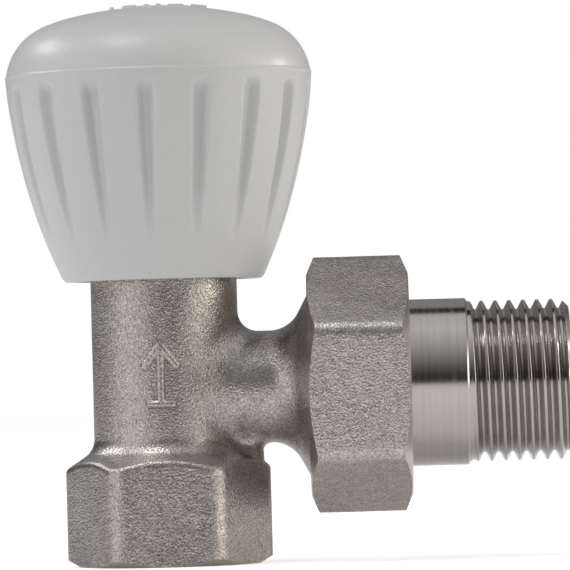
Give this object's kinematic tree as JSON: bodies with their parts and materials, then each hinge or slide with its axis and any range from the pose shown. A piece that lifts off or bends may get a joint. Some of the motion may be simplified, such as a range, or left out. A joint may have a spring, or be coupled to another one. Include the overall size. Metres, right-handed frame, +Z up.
{
  "type": "lockshield valve",
  "caption": "Angle radiator lockshield valve: forged body with hexagon inlet, fluted pull-off shield cap over the spindle, union nut and male threaded tailpiece.",
  "frame": {"origin": "centre of the inlet's end face, at the bottom of the hexagon", "axes": "+Z up the inlet, neck and spindle axis; +X along the outlet axis, out of the tailpiece"},
  "size_m": [0.0727, 0.04, 0.0733],
  "materials": {
    "forged_nickel": "shot-blasted forging, matt nickel plate",
    "turned_nickel": "turned, bright nickel plate",
    "turned_brass": "turned, unplated",
    "spring_steel": "satin",
    "seal_rubber": "matt moulded",
    "gland_plastic": "waxy",
    "cap_plastic": "satin injection moulding"
  },
  "bodies": {
    "housing": {"valve_body": "forged_nickel", "bonnet": "turned_brass", "bonnet_o_ring": "seal_rubber", "gland_lower_washer": "gland_plastic", "spindle_o_rings": "seal_rubber", "gland_follower_washer": "gland_plastic", "gland_nut": "turned_brass"},
    "plug": {"disc_holder": "turned_brass", "seat_washer": "seal_rubber", "washer_plate": "turned_brass", "washer_screw": "spring_steel", "disc_retaining_clip": "spring_steel"},
    "spindle": {"spindle": "turned_brass", "spindle_circlip": "spring_steel"},
    "tail": {"tailpiece": "turned_nickel", "tailpiece_o_ring": "seal_rubber"},
    "nut": {"union_nut": "forged_nickel"},
    "cap_ring": {"cap_grip_ring": "spring_steel"},
    "cap": {"shield_cap": "cap_plastic"}
  },
  "joints": [
    {"name": "plug_lift", "type": "slide", "parent": "housing", "child": "plug", "axis": [0, 0, 1], "range_m": [0, 0.004]},
    {"name": "spindle_turn", "type": "hinge", "parent": "plug", "child": "spindle", "pos_m": [0, 0, 0.045], "axis": [0, 0, 1], "range_deg": [0, 1441]},
    {"name": "tailpiece_withdraw", "type": "slide", "parent": "housing", "child": "tail", "axis": [1, 0, 0], "range_m": [0, 0.00816]},
    {"name": "union_nut_turn", "type": "hinge", "parent": "tail", "child": "nut", "pos_m": [0.025, 0, 0.0229], "axis": [1, 0, 0], "range_deg": [0, 1621]},
    {"name": "cap_pull", "type": "slide", "parent": "housing", "child": "cap_ring", "axis": [0, 0, 1], "range_m": [0, 0.028]},
    {"name": "cap_spin", "type": "hinge", "parent": "cap_ring", "child": "cap", "pos_m": [0, 0, 0.0487], "axis": [0, 0, 1], "continuous": true}
  ],
  "couplings": [
    {"joint": "spindle_turn", "follows": "plug_lift", "rad_per_m": 6283.2},
    {"joint": "union_nut_turn", "follows": "tailpiece_withdraw", "rad_per_m": 3463.1}
  ]
}
